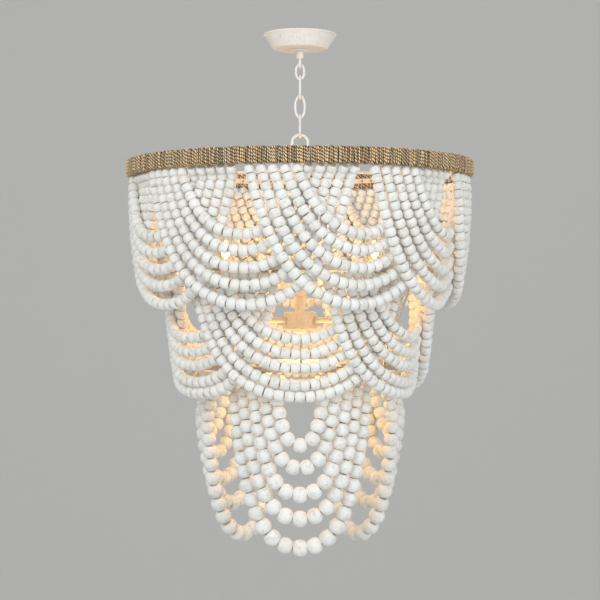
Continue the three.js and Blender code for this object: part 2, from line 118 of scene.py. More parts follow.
# Bulbs. The glass is given as shares of its length and of its widest radius.
SCREW = Sizes(radius=0.0077, tip=0.004, start=0.005, threads=7, pitch=0.0026, depth=0.0007)
POST = Sizes(radius=0.004, rise=0.001)
FILAMENT = Sizes(loops=4, foot=0.0022, bow=0.0068, wire=0.0018, post_share=0.22, height_share=0.42)
GLASS_SHARES = (
    (0.0, 0.44), (0.06, 0.53), (0.12, 0.69), (0.2, 0.85), (0.3, 0.96), (0.4, 1.0), (0.48, 0.995),
    (0.58, 0.90), (0.68, 0.76), (0.78, 0.57), (0.86, 0.41), (0.93, 0.26), (0.975, 0.14), (1.0, 0.01),
)

# Strings of beads
STRINGS = 5
STRING_POINTS = 241
WEAVE_FRONT = 0.003
WEAVE_APART = 0.001
WEAVE_SETTLE = 0.016
WEAVE_SETTLE_POWER = 2.5
WEAVE_TURN_SHARE = 0.35
NESTLED_LAP = 0.78  # how much of the solids' lap is left once beads lie in each other's gaps
SWELL_FALLS = (0.02, 0.09)  # how far under the rail a tier starts to swell out, and where it is full
SWELL_END = 0.17  # how far under the rail it starts to draw in again
CORD_WIDTH = 0.0017
CORD_DROP = 0.004
CORD_RISE_SHARE = 0.6
CORD_PLAY = 1.03

# How beads push each other aside. The shares are of what they overlap or stand apart by in each round.
SLACK = 0.008  # how far apart beads may start that end up touching
TOUCH_SHARE = 0.96  # how much of their size they keep between them
NESTLE_ROUNDS = 120
PUSH_SHARE = 0.25
PULL_SHARE = 0.4
HOLD_END_SHARE = 0.5
HOLD_SHARE = 0.02

# A bead's outline, in shares of its half length and its radius, and how beads differ by chance
BARREL_SHARE = 0.975
BARREL_POINTS = 13
BEAD_SIDES = 20
HOLE_SHARES = ((0.93, 0.12), (0.985, 0.2))
FACE_BEVEL_SHARE = 0.09
UNPAINTED_AND_GAP_SHADE_SHARES = (0.96, 0.98)  # from where paint covers a bead's flat end to where it shows full unpainted wood and painted shade of the gap to the next bead
BEAD_TILT = 0.05
BEAD_LENGTHS = (0.965, 0.998)
BEAD_SIZES = (0.96, 1.015)

# Camera
CAMERA_DISTANCE = 2.745
CAMERA_HEIGHT = -0.4688
LENS = 93.36
SENSOR = 36.0
FARTHEST = 50

# Light
BULB_WATTS = 0.32
BULB_COLOUR = (1.0, 0.50, 0.10)
BULB_LIGHT_RADIUS = 0.012
BULB_LIGHT_SHARE = 0.4  # how far up the glass the light sits
GLOW_WATTS = 0.75
GLOW_COLOUR = (1.0, 0.58, 0.19)
GLOW_RADIUS = 0.03
GLOW_DROP = 0.075  # how far under the hub the light gathers that the bulbs throw down
KEY = Sizes(place=(-1.5, -2.9, 0.7), watts=48, colour=(1.0, 0.995, 0.97))
FILL = Sizes(place=(2.2, -2.6, -0.6), watts=35, colour=(0.99, 1.0, 0.99))
SOFTBOX = 2.6
LIT_POINT = (0, 0, -0.5)
SKY = 0.58
SKY_COLOUR = (0.99, 1.0, 0.985, 1)
STAGE = Sizes(floor=-3.6, back=6.0, bend=1.5, wide=14.0, top=9.0, colour=(0.72, 0.715, 0.71))


@dataclass
class Tier:
    """One tier of swags. Angles are in degrees from the front."""

    name: str
    groups: int
    centre: float
    radius: float
    rail: float
    bead: float
    short_low_bead: float
    low_bead: float
    size_power: float
    length_share: float
    between: float
    deepest: float
    drop_shares: tuple
    fullness: float
    bulge_power: float = 0.0
    bulge: float = 0.0
    first_angle: float = 0.0
    crowd: float = 0.0
    swell: float = 0.0
    woven: bool = True
    squareness: float = 2.5  # how like a barrel its beads are, where 2 is a cut ball
    end_cut: float = 0.86  # where a bead's flat ends cut its round outline, as a share

    @property
    def lap(self):
        return (self.low_bead + WEAVE_APART) * NESTLED_LAP

    @property
    def step(self):
        return math.degrees((self.bead + self.between) / self.radius)

    @property
    def first(self):
        return 180 / self.groups + self.step / 2 if self.woven else self.first_angle


def tiers():
    """The three tiers, hung from the rails that the frame gives."""
    rails = [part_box(node) for node in ("rope_wrap", "middle_hoop", "lower_hoop")]
    radii = [rails[0][1].x - RING_INSET, rails[1][1].x - HOOP_WIDTH / 2, rails[2][1].x - HOOP_WIDTH / 2]
    upper = Tier(
        name="upper_swag", groups=9, centre=20.8, radius=radii[0], rail=rails[0][0].z,
        bead=0.017, short_low_bead=0.0194, low_bead=0.0202, size_power=1.5, length_share=0.815, between=0.002,
        deepest=0.219, drop_shares=(0.484, 0.603, 0.731, 0.858, 1), fullness=1.25, bulge_power=2.3,
    )
    middle = Tier(
        name="middle_swag", groups=6, centre=0, radius=radii[1], rail=rails[1][0].z,
        bead=0.0168, short_low_bead=0.0192, low_bead=0.0202, size_power=1, length_share=0.83, between=0.0009,
        deepest=0.2021, drop_shares=(0.532, 0.654, 0.766, 0.905, 1), fullness=1.25, bulge_power=1.4,
    )
    lower = Tier(
        name="lower_swag", groups=3, centre=0, radius=radii[2], rail=rails[2][0].z,
        bead=0.018, short_low_bead=0.0253, low_bead=0.0295, size_power=2, length_share=0.88, between=0.003,
        deepest=0.295, drop_shares=(0.386, 0.519, 0.675, 0.82, 1), fullness=1.45,
        first_angle=13.8, crowd=0.006, swell=0.019, woven=False, squareness=2.15, end_cut=0.92,
    )
    for tier, inside in ((upper, middle), (middle, lower)):
        front = WEAVE_FRONT if inside.woven else 0
        inside_front = inside.radius + front + inside.bead / 2
        lowest = inside_front + PLAY + tier.low_bead / 2 + tier.lap
        tier.bulge = tier.radius + WEAVE_FRONT - lowest
    return [upper, middle, lower]


# Mesh helpers


def polar(radius, angle, z):
    """Points at angles in degrees from the front, growing towards +X."""
    turn = np.radians(angle)
    return np.stack(np.broadcast_arrays(radius * np.sin(turn), -radius * np.cos(turn), z), axis=-1)


def unit(vectors):
    return vectors / np.linalg.norm(vectors, axis=-1, keepdims=True)


def grid_faces(rows, columns, looped):
    """Quads over rows of points that go round, numbered row by row. Looped rows also meet end to end."""
    row = np.arange(rows if looped else rows - 1)
    i, j = (a.ravel() for a in np.meshgrid(row, np.arange(columns), indexing="ij"))
    i_next, j_next = (i + 1) % rows, (j + 1) % columns
    corners = [i * columns + j, i * columns + j_next, i_next * columns + j_next, i_next * columns + j]
    return np.stack(corners, axis=-1)


def tube_faces(rows, columns, looped=False):
    """Faces over rows of points round a tube, joined end to end or closed with a face at each end."""
    faces = grid_faces(rows, columns, looped).tolist()
    if not looped:
        last = (rows - 1) * columns
        faces.append(list(range(columns))[::-1])
        faces.append(list(range(last, last + columns)))
    return faces


def copies(points, faces):
    """Faces for many copies of a shape, given the copies' points as one array."""
    count, size = points.shape[0], points.shape[1]
    offsets = (np.arange(count) * size)[:, None, None]
    return points.reshape(-1, 3), (faces[None] + offsets).reshape(-1, faces.shape[1])


def together(*shapes):
    """Several (points, faces) shapes as one. Each one's faces is an array or a list."""
    points, faces, start = [], [], 0
    for shape_points, shape_faces in shapes:
        points.append(shape_points)
        faces += [[int(corner) + start for corner in face] for face in shape_faces]
        start += len(shape_points)
    return np.concatenate(points), faces


def new_object(name, data, place=(0, 0, 0)):
    """A new object in the scene."""
    made = bpy.data.objects.new(name, data)
    made.location = place
    bpy.context.scene.collection.objects.link(made)
    return made


def piece(name, shape, material, body, replaced=(), smooth=True):
    """A mesh object that rides on a body and stands for the replaced nodes."""
    points, faces = shape
    mesh = bpy.data.meshes.new(name)
    mesh.from_pydata(np.asarray(points).tolist(), [], [list(map(int, face)) for face in faces])
    mesh.update()
    mesh.shade_smooth() if smooth else mesh.shade_flat()
    mesh.materials.append(material)
    made = new_object(name, mesh)
    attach(made, body)
    if replaced:
        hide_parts(*replaced)
    return made


def sharpen(made, degrees=35):
    """Keeps the turned edges of a smooth-shaded piece crisp."""
    made.data.set_sharp_from_angle(angle=math.radians(degrees))


def lathe(profile, steps, looped=False, centre=(0, 0)):
    """A turned shape about Z through [radius, z] pairs. Its ends are closed unless it is looped."""
    turns = np.arange(steps) * 360 / steps
    rings = np.stack([polar(radius, turns, z) for radius, z in profile])
    points = rings.reshape(-1, 3) + np.array([*centre, 0])
    return points, [face[::-1] for face in tube_faces(len(profile), steps, looped)]


def band(inner, outer, start, end):
    """The corners of a ring's section as [radius, z], or of a rod's half section where inner is AXIS."""
    return [(inner, start), (outer, start), (outer, end), (inner, end)]


def rounded(corners, radius, steps=4, looped=False):
    """A [radius, z] profile with every inner corner rounded, or every corner of a looped one."""
    corners = [np.array(corner, float) for corner in corners]
    count = len(corners)
    profile = []
    for i, corner in enumerate(corners):
        if not looped and i in (0, count - 1):
            profile.append(corner)
            continue
        before, after = corners[i - 1] - corner, corners[(i + 1) % count] - corner
        reach = min(radius, *(np.linalg.norm(side) * LONGEST_REACH for side in (before, after)))
        start, end = corner + unit(before) * reach, corner + unit(after) * reach
        for share in np.linspace(0, 1, steps + 1):
            near = start * (1 - share) + corner * share
            far = corner * (1 - share) + end * share
            profile.append(near * (1 - share) + far * share)
    return profile


def tube(path, radius, sides, looped=False):
    """A round tube along a path of points."""
    path = np.asarray(path, float)
    if looped:
        along = unit(np.roll(path, -1, axis=0) - np.roll(path, 1, axis=0))
    else:
        along = unit(np.gradient(path, axis=0))
    across = np.cross(along[0], TUBE_SEAM)
    turns = np.arange(sides) * 2 * np.pi / sides
    rings = []
    for at, direction in zip(path, along):
        across = unit(across - direction * np.dot(across, direction))
        up = np.cross(direction, across)
        rings.append(at + radius * (np.outer(np.cos(turns), across) + np.outer(np.sin(turns), up)))
    return np.concatenate(rings), tube_faces(len(path), sides, looped)


def plate(lo, hi):
    """A rectangular bar with chamfered edges."""
    lo, hi = np.array(lo, float), np.array(hi, float)
    mid, half = (lo + hi) / 2, (hi - lo) / 2
    rings = []
    for end, inset in ((-1, RIM), (-1, 0), (1, 0), (1, RIM)):
        height = half[2] if inset else half[2] - RIM
        x, y = half[0] - inset, half[1] - inset
        corners = [(x - RIM, -y), (x, -y + RIM), (x, y - RIM), (x - RIM, y)]
        corners += [(-x + RIM, y), (-x, y - RIM), (-x, -y + RIM), (-x + RIM, -y)]
        rings.append([(*corner, end * height) for corner in corners])
    return np.concatenate(rings) + mid, tube_faces(len(rings), len(corners))


def turned_about(shape, angle):
    """A shape turned about Z by degrees."""
    points, faces = shape
    turn = math.radians(angle)
    spin = np.array([[math.cos(turn), math.sin(turn), 0], [-math.sin(turn), math.cos(turn), 0], [0, 0, 1]])
    return points @ spin, faces


# Materials

COLOUR_MIX_SOCKETS = (0, 6, 7)


class Look:
    """A material whose nodes are added one by one."""

    def __init__(self, name, roughness=0.5, metallic=0.0):
        self.material = bpy.data.materials.new(name)
        self.material.use_nodes = True
        self.nodes = self.material.node_tree.nodes
        self.links = self.material.node_tree.links
        self.shader = self.nodes["Principled BSDF"]
        self.shader.inputs["Roughness"].default_value = roughness
        self.shader.inputs["Metallic"].default_value = metallic
        self.place = self.nodes.new("ShaderNodeTexCoord").outputs["Object"]

    def node(self, kind, **values):
        made = self.nodes.new(kind)
        for key, value in values.items():
            if key in made.inputs:
                made.inputs[key].default_value = value
            else:
                setattr(made, key, value)
        return made

    def link(self, source, target):
        self.links.new(source, target)

    def noise(self, scale, detail=4.0, roughness=0.6, place=None):
        made = self.node("ShaderNodeTexNoise", Scale=scale, Detail=detail, Roughness=roughness)
        self.link(place or self.place, made.inputs["Vector"])
        return made.outputs["Fac"]

    def stretched(self, scale):
        made = self.node("ShaderNodeMapping")
        made.inputs["Scale"].default_value = scale
        self.link(self.place, made.inputs["Vector"])
        return made.outputs["Vector"]

    def ramp(self, source, *stops):
        made = self.node("ShaderNodeValToRGB")
        stretch = made.color_ramp
        while len(stretch.elements) < len(stops):
            stretch.elements.new(0.5)
        for element, (position, colour) in zip(stretch.elements, stops):
            element.position = position
            element.color = (*colour, 1)
        self.link(source, made.inputs["Fac"])
        return made.outputs["Color"]

    def levels(self, source, low, high):
        """A 0 to 1 mask that rises between two values of the source."""
        made = self.node("ShaderNodeMapRange")
        made.inputs["From Min"].default_value = low
        made.inputs["From Max"].default_value = high
        self.link(source, made.inputs["Value"])
        return made.outputs["Result"]

    def fill(self, socket, value):
        """Links a value that comes from a node, or sets the socket to it."""
        if isinstance(value, bpy.types.NodeSocket):
            self.link(value, socket)
        else:
            socket.default_value = (*value, 1) if isinstance(value, tuple) else value

    def mix(self, mask, first, second, blend="MIX"):
        made = self.node("ShaderNodeMix", data_type="RGBA", blend_type=blend)
        for i, value in zip(COLOUR_MIX_SOCKETS, (mask, first, second)):
            self.fill(made.inputs[i], value)
        return made.outputs[2]

    def multiply(self, first, second):
        made = self.node("ShaderNodeMath", operation="MULTIPLY")
        self.fill(made.inputs[0], first)
        self.fill(made.inputs[1], second)
        return made.outputs[0]

    def over(self, mask, amount, below, above):
        """The colour below, under an amount of another one where the mask is full."""
        return self.mix(self.multiply(mask, amount), below, above)

    def island(self):
        return self.node("ShaderNodeNewGeometry").outputs["Random Per Island"]

    def marked(self, name):
        return self.node("ShaderNodeAttribute", attribute_name=name).outputs["Fac"]

    def colour(self, source):
        self.link(source, self.shader.inputs["Base Color"])

    def rough(self, source):
        self.link(source, self.shader.inputs["Roughness"])

    def bump(self, height, strength, distance, below=None):
        made = self.node("ShaderNodeBump", Strength=strength, Distance=distance)
        self.link(height, made.inputs["Height"])
        if below:
            self.link(below, made.inputs["Normal"])
        self.link(made.outputs["Normal"], self.shader.inputs["Normal"])
        return made.outputs["Normal"]


def bead_look():
    """Whitewashed wood: chalky, pitted and finely cracked, and a little different from bead to bead. Its
    flat ends are browned, partly as unpainted wood round the hole and partly as painted shade of the gap
    between beads."""
    look = Look("whitewashed_bead", roughness=0.8)
    look.shader.inputs["Specular IOR Level"].default_value = 0.3
    chalk, grey_wood, unpainted_wood_and_gap_shade = (0.925, 0.93, 0.925), (0.66, 0.64, 0.59), (0.56, 0.45, 0.33)
    crack, pit = (0.50, 0.47, 0.43), (0.42, 0.39, 0.35)
    tones = ((0.0, (0.835, 0.835, 0.805)), (0.5, (0.885, 0.89, 0.87)), (1.0, (0.915, 0.925, 0.915)))
    tone = look.ramp(look.island(), *tones)
    cloud = look.levels(look.noise(200), 0.45, 0.75)
    washed = look.over(cloud, 0.6, tone, chalk)
    grain = look.levels(look.noise(1.0, 6, 0.7, look.stretched((700, 700, 220))), 0.56, 0.74)
    grained = look.over(grain, 0.30, washed, grey_wood)
    cracks = look.levels(look.noise(150, 7, 0.62), 0.506, 0.494)
    veins = look.multiply(look.levels(look.noise(95, 3, 0.5), 0.52, 0.58), cracks)
    lined = look.over(veins, 0.32, grained, crack)
    grit = look.noise(620, 2, 0.5)
    pitted = look.over(look.levels(grit, 0.655, 0.70), 0.5, lined, pit)
    # Painted shade: a bead's flat ends, where it meets the next one, go brown, partly as unpainted wood and
    # partly as the shade in the gap
    look.colour(look.over(look.marked("bare"), 0.75, pitted, unpainted_wood_and_gap_shade))
    soft = look.bump(look.noise(330, 5), 0.25, 0.0006)
    look.bump(grit, 0.4, 0.0005, below=soft)
    return look.material


def plain_look(name, roughness, scale, first, second, detail=4.0):
    """A surface whose colour wanders between two."""
    look = Look(name, roughness)
    look.colour(look.ramp(look.noise(scale, detail), (0.3, first), (0.7, second)))
    return look


def cord_look():
    look = plain_look("natural_cord", 0.9, 700, (0.55, 0.47, 0.35), (0.78, 0.72, 0.60))
    look.bump(look.noise(1500), 0.5, 0.0003)
    return look.material


def rope_look():
    """Twisted seagrass: straw, olive and reddish strands, with painted shade in the creases between the turns
    and between their plies.
    """
    look = Look("twisted_seagrass", roughness=0.88)
    # The near-black of the painted shade between turns and plies
    groove = (0.022, 0.013, 0.008)
    straw = look.ramp(
        look.noise(520, 6, 0.75),
        (0.36, (0.30, 0.21, 0.12)),
        (0.45, (0.60, 0.46, 0.29)),
        (0.54, (0.85, 0.71, 0.50)),
        (0.66, (0.97, 0.90, 0.74)),
    )
    hue = look.ramp(
        look.noise(46, 3),
        (0.40, (1.06, 0.93, 0.84)),
        (0.52, (1.0, 0.955, 0.88)),
        (0.62, (0.95, 0.925, 0.82)),
    )
    turn = look.ramp(
        look.island(),
        (0.0, (0.58, 0.55, 0.51)),
        (0.4, (0.94, 0.91, 0.87)),
        (1.0, (1.30, 1.26, 1.18)),
    )
    tinted = look.mix(1.0, straw, hue, "MULTIPLY")
    turned = look.mix(1.0, tinted, turn, "MULTIPLY")
    # Painted shade in the creases between turns and plies, where the mask is full
    look.colour(look.mix(look.marked("groove"), turned, groove))
    fibres = look.noise(1.0, 6, 0.8, look.stretched((2400, 2400, 500)))
    look.bump(fibres, 0.6, 0.0004)
    return look.material


def enamel_look(name, thin, full):
    """Brushed paint between two colours, rubbed through to dark specks."""
    look = Look(name, roughness=0.5)
    undercoat, metal = (0.42, 0.38, 0.35), (0.16, 0.14, 0.13)
    wash = look.ramp(look.noise(60, 5), (0.3, thin), (0.7, full))
    flaking = look.noise(210, 8, 0.75)
    rubbed = look.over(look.levels(flaking, 0.62, 0.68), 0.75, wash, undercoat)
    specks = look.levels(look.noise(620, 2, 0.5), 0.66, 0.70)
    look.colour(look.over(specks, 0.85, rubbed, metal))
    look.rough(look.levels(look.noise(150), 0.9, 0.1))
    look.bump(flaking, 0.35, 0.0005)
    return look.material


def rail_look():
    """The uncovered painted strip that the cords are tied through."""
    look = plain_look("rail_paint", 0.6, 90, (0.70, 0.60, 0.52), (0.84, 0.77, 0.70), detail=5)
    look.bump(look.noise(300), 0.3, 0.0003)
    return look.material


def steel_look():
    look = Look("satin_steel", roughness=0.4, metallic=1.0)
    brushed = look.noise(1.0, 4, 0.6, look.stretched((300, 300, 2500)))
    look.colour(look.ramp(brushed, (0.3, (0.52, 0.51, 0.49)), (0.7, (0.66, 0.655, 0.64))))
    look.bump(brushed, 0.2, 0.0002)
    return look.material


# Painted shadow: the near-black that stands for the shade inside the strip's holes
def hole_shade_look():
    return plain_look("hole_shadow", 0.95, 900, (0.02, 0.015, 0.012), (0.06, 0.045, 0.035)).material


def candle_look():
    look = plain_look("ivory_candle", 0.55, 80, (0.84, 0.78, 0.66), (0.91, 0.87, 0.77), detail=5)
    look.shader.inputs["Subsurface Weight"].default_value = 0.15
    look.shader.inputs["Subsurface Radius"].default_value = (0.004, 0.0025, 0.0015)
    look.bump(look.noise(400), 0.2, 0.0003)
    return look.material


def socket_look():
    return plain_look("phenolic_socket", 0.45, 250, (0.035, 0.030, 0.027), (0.07, 0.06, 0.055)).material


def glass_look():
    look = plain_look("clear_bulb", 0.03, 40, (1.0, 0.90, 0.72), (1.0, 0.96, 0.86))
    look.shader.inputs["Transmission Weight"].default_value = 1.0
    look.shader.inputs["IOR"].default_value = 1.2
    return look.material


def filament_look():
    look = Look("glowing_filament", roughness=0.6)
    glow = look.ramp(look.noise(120), (0.3, (1.0, 0.62, 0.24)), (0.7, (1.0, 0.78, 0.42)))
    look.colour(glow)
    look.link(glow, look.shader.inputs["Emission Color"])
    look.shader.inputs["Emission Strength"].default_value = 6.0
    return look.material


def stage_look(name, colour):
    look = Look(name, roughness=0.9)
    look.shader.inputs["Base Color"].default_value = (*colour, 1)
    return look.material


# Strings of beads


def hanging_bend(half, drop):
    """The bend of a hanging string: cosh(bend) - 1 = bend * drop / half."""
    low, high = 1e-6, 20.0
    while high - low > 1e-9:
        middle = (low + high) / 2
        if math.cosh(middle) - 1 > middle * drop / half:
            high = middle
        else:
            low = middle
    return low


def rising(value, start, full):
    """A share that rises evenly from 0 at the start to 1 where it is full."""
    return np.clip((value - start) / (full - start), 0, 1)


def settling(fall):
    """How far a string has settled into its own layer, from 0 at the rail to 1."""
    return 1 - (1 - np.minimum(fall / WEAVE_SETTLE, 1)) ** WEAVE_SETTLE_POWER


def swelling(fall):
    """How far large beads crowd a column of strings outward, from 0 at the rail to 1 and part way back."""
    rise = rising(fall, *SWELL_FALLS)
    return rise * rise * (3 - 2 * rise) - rising(fall, SWELL_END, 2 * SWELL_END) ** 2


def string_line(tier, number, centre):
    """The points of one string's cord from its left end to its right end, and the bead size at each."""
    half_angle = math.radians(tier.first + number * tier.step)
    half, chord = tier.radius * math.sin(half_angle), tier.radius * math.cos(half_angle)
    drop = tier.deepest * tier.drop_shares[number]
    bend = tier.fullness * hanging_bend(half, drop)

    t = np.linspace(-1, 1, STRING_POINTS)
    level = (np.cosh(bend * t) - 1) / (math.cosh(bend) - 1)
    fall = np.maximum(drop * (1 - level), 0)
    inward = chord - tier.crowd * number * settling(fall) + tier.swell * swelling(fall)
    angle = centre + np.degrees(np.arctan2(t * half, inward))
    if tier.woven:
        side = np.sin(np.pi / 2 * np.clip(-t / WEAVE_TURN_SHARE, -1, 1))
        lean = WEAVE_FRONT + tier.lap * (side - 1) / 2
        radius = tier.radius + settling(fall) * lean - tier.bulge * (fall / tier.deepest) ** tier.bulge_power
    else:
        radius = np.hypot(t * half, inward)
    line = polar(radius, angle, tier.rail - SEAT - CORD_DROP - fall)
    raised = line[[0, -1]] + np.array([0, 0, CORD_DROP * CORD_RISE_SHARE])
    low_bead = np.interp(number, (0, STRINGS - 1), (tier.short_low_bead, tier.low_bead))
    size = low_bead + (tier.bead - low_bead) * level ** tier.size_power
    return np.concatenate([raised[:1], line, raised[1:]]), np.concatenate([size[:1], size, size[-1:]])


@dataclass
class Beads:
    """The beads of all the strings in order: places, sizes across, lengths, and each one's string."""

    at: np.ndarray
    size: np.ndarray
    length: np.ndarray
    string: np.ndarray


def beads_on(tier, line, size):
    """The places, sizes and lengths of the beads that fill a string."""
    length = size * tier.length_share
    steps = np.linalg.norm(np.diff(line, axis=0), axis=1) / ((length[1:] + length[:-1]) / 2)
    filled = np.concatenate([[0], np.cumsum(steps)])
    count = round(filled[-1])
    wanted = (np.arange(count) + 0.5) * filled[-1] / count
    at = np.stack([np.interp(wanted, filled, line[:, i]) for i in range(3)], axis=-1)
    stretch = filled[-1] / count
    return at, np.interp(wanted, filled, size), np.interp(wanted, filled, length) * stretch


def near_pairs(beads):
    """Pairs of beads of different strings that could touch, and pairs that follow each other."""
    reach = beads.size.max() + SLACK
    first, second = [], []
    for i in range(len(beads.at) - 1):
        later = slice(i + 1, None)
        close = np.linalg.norm(beads.at[later] - beads.at[i], axis=1) < reach
        others = np.nonzero(close & (beads.string[later] != beads.string[i]))[0] + i + 1
        first.append(np.full(len(others), i))
        second.append(others)
    follow = np.nonzero(beads.string[1:] == beads.string[:-1])[0]
    return np.concatenate(first), np.concatenate(second), follow


def nestle(beads):
    """Lets the beads of neighbouring strings push each other aside until they lie side by side."""
    rest = beads.at.copy()
    first, second, follow = near_pairs(beads)
    touch = (beads.size[first] + beads.size[second]) / 2 * TOUCH_SHARE
    pitch = (beads.length[follow] + beads.length[follow + 1]) / 2
    ends = np.concatenate([[True], beads.string[1:] != beads.string[:-1]])
    held = ends | np.concatenate([ends[1:], [True]])
    for _ in range(NESTLE_ROUNDS):
        move = np.zeros_like(rest)
        apart = beads.at[second] - beads.at[first]
        distance = np.linalg.norm(apart, axis=1)
        push = apart * (np.maximum(touch - distance, 0) / distance * PUSH_SHARE)[:, None]
        np.add.at(move, second, push)
        np.add.at(move, first, -push)
        apart = beads.at[follow + 1] - beads.at[follow]
        distance = np.linalg.norm(apart, axis=1)
        strain = (distance - np.clip(distance, pitch, pitch * CORD_PLAY)) / distance
        pull = apart * (strain * PULL_SHARE)[:, None]
        np.add.at(move, follow, pull)
        np.add.at(move, follow + 1, -pull)
        move += (rest - beads.at) * np.where(held, HOLD_END_SHARE, HOLD_SHARE)[:, None]
        beads.at = beads.at + move


def bead_profile(tier):
    """A bead's half section as [share of its half length, share of its radius], from its hole's rim
    over one flat end, the barrel and the other flat end."""
    along = np.sin(np.linspace(-0.5, 0.5, BARREL_POINTS) * np.pi) * BARREL_SHARE
    out = (1 - np.abs(along * tier.end_cut) ** tier.squareness) ** (1 / tier.squareness)
    right = [(1.0, out[0] - FACE_BEVEL_SHARE), *HOLE_SHARES[::-1]]
    left = [(-along_share, out_share) for along_share, out_share in right[::-1]]
    return np.concatenate([left, np.stack([along, out], axis=-1), right])


def bead_shapes(tier, at, along, half, radius):
    """The points of every bead, each turned, tilted and sized a little by chance."""
    count = len(at)
    profile = bead_profile(tier)
    along = unit(along + noise.normal(0, BEAD_TILT, (count, 3)))
    across = unit(np.cross(along, unit(noise.normal(0, 1, (count, 3)))))
    up = np.cross(along, across)
    half = half * noise.uniform(*BEAD_LENGTHS, count)
    radius = radius * noise.uniform(*BEAD_SIZES, count)
    turns = np.arange(BEAD_SIDES) * 2 * np.pi / BEAD_SIDES
    round_way = across[:, None] * np.cos(turns)[None, :, None] + up[:, None] * np.sin(turns)[None, :, None]
    points = (
        at[:, None, None]
        + along[:, None, None] * (profile[:, 0][None, :] * half[:, None])[:, :, None, None]
        + round_way[:, None] * (profile[:, 1][None, :] * radius[:, None])[:, :, None, None]
    )
    faces = grid_faces(len(profile), BEAD_SIDES, True)
    # The brown of the flat ends: partly unpainted wood, partly painted shade of the gap between beads
    bare = np.repeat(rising(np.abs(profile[:, 0]), *UNPAINTED_AND_GAP_SHADE_SHARES), BEAD_SIDES)
    return points.reshape(count, -1, 3), faces, np.tile(bare, count)


def mark(made, name, values):
    """Keeps one number for each point of a piece, for its material to read."""
    layer = made.data.attributes.new(name, "FLOAT", "POINT")
    layer.data.foreach_set("value", np.asarray(values, np.float32))


def swags(all_tiers, bead_material, cord_material):
    """Every swag's beads and cords, after all of them have nestled together."""
    nodes, ends, strings, owners = [], [], [], []
    for tier in all_tiers:
        for group in range(tier.groups):
            for k in range(STRINGS):
                line, size = string_line(tier, k, tier.centre + 360 * group / tier.groups)
                strings.append(beads_on(tier, line, size))
                ends.append(line[[0, -1]])
                nodes.append(f"{tier.name}_{group + 1}")
                owners.append(tier)
    counts = [len(string[0]) for string in strings]
    at, size, length = (np.concatenate(values) for values in zip(*strings))
    beads = Beads(at, size, length, np.repeat(np.arange(len(strings)), counts))
    nestle(beads)
    for node in dict.fromkeys(nodes):
        shapes, cords = [], []
        for string in (i for i, name in enumerate(nodes) if name == node):
            own = beads.string == string
            route = np.concatenate([ends[string][:1], beads.at[own], ends[string][1:]])
            along = unit(route[2:] - route[:-2])
            half, radius = beads.length[own] / 2, beads.size[own] / 2
            shapes.append(bead_shapes(owners[string], beads.at[own], along, half, radius))
            cords.append(tube(route, CORD_WIDTH / 2, sides=6))
        points = np.concatenate([shape[0] for shape in shapes])
        made = piece(f"{node}_beads", copies(points, shapes[0][1]), bead_material, "shade", [node])
        # Each point keeps how far its bead's flat end is browned by unpainted wood and painted gap shade
        mark(made, "bare", np.concatenate([shape[2] for shape in shapes]))
        piece(f"{node}_cords", together(*cords), cord_material, "shade")


# The ring


def rope_section_line(inner, outer, low, high, middle):
    """One turn's centre line as [radius, z]: from above the bare strip over the top, down the outside and
    back under to below the strip."""
    lie = ROPE / 2
    slot = SLOT / 2
    corners = [
        (inner + ROPE, middle + slot + lie / 2), (inner + lie, middle + slot + lie),
        (inner + lie, high - lie), (outer - lie, high - lie), (outer - lie, low + lie),
        (inner + lie, low + lie), (inner + lie, middle - slot - lie), (inner + ROPE, middle - slot - lie / 2),
    ]
    line = np.array(rounded(corners, ROPE_CORNER, steps=6))
    lengths = np.concatenate([[0], np.cumsum(np.linalg.norm(np.diff(line, axis=0), axis=1))])
    places = np.linspace(0, lengths[-1], round(lengths[-1] / ROPE_SPACING))
    return np.stack([np.interp(places, lengths, line[:, i]) for i in range(2)], axis=-1), places


def rope_turns(material):
    """The turns of twisted rope round the ring, each a little different, in pieces that share them."""
    low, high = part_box("rope_wrap")
    outer, middle = high.x, (low.z + high.z) / 2
    line, places = rope_section_line(outer - RING_WIDTH, outer, low.z, high.z, middle)
    along = unit(np.gradient(line, axis=0))
    normal = np.stack([-along[:, 1], along[:, 0]], axis=-1)
    angles = np.arange(ROPE_SIDES) * 2 * np.pi / ROPE_SIDES
    faces = grid_faces(len(line), ROPE_SIDES, False)
    turns, painted_groove_shades, start = [], [], 0.0
    for i in range(ROPE_TURNS):
        start += noise.normal(*TWIST_START)
        thick = ROPE / 2 * noise.uniform(*ROPE_SIZES)
        ply = np.abs(np.cos(angles + start - 2 * np.pi * places[:, None] / ROPE_LAY))
        section = thick * (PLY_VALLEY + PLY_RISE * ply)
        height = section * np.cos(angles) + noise.normal(0, TURN_PROUD)
        out = line[:, :1] + normal[:, :1] * height
        up = line[:, 1:] + normal[:, 1:] * height
        drift = noise.normal(0, TURN_DRIFT) * np.sin(places / places[-1] * np.pi * 2 + start)[:, None]
        angle = 360 * i / ROPE_TURNS + np.degrees((section * np.sin(angles) + drift) / out)
        turns.append(polar(out, angle, up).reshape(-1, 3))
        # Painted shade: dark where a turn faces in towards its neighbours and between its plies, full straw
        # where it faces out
        painted_lit = rising(np.cos(angles), *PAINTED_LIT_FACING) * rising(ply, *PAINTED_LIT_PLY)
        painted_groove_shades.append(1 - painted_lit.ravel())
    share = ROPE_TURNS // ROPE_PIECES
    # Each piece keeps its turns' painted shade mask for the material to read
    for i in range(ROPE_PIECES):
        part = slice(i * share, (i + 1) * share)
        shape = copies(np.stack(turns[part]), faces)
        made = piece(f"rope_turns_{i + 1}", shape, material, "shade", ["rope_wrap"])
        mark(made, "groove", np.concatenate(painted_groove_shades[part]))


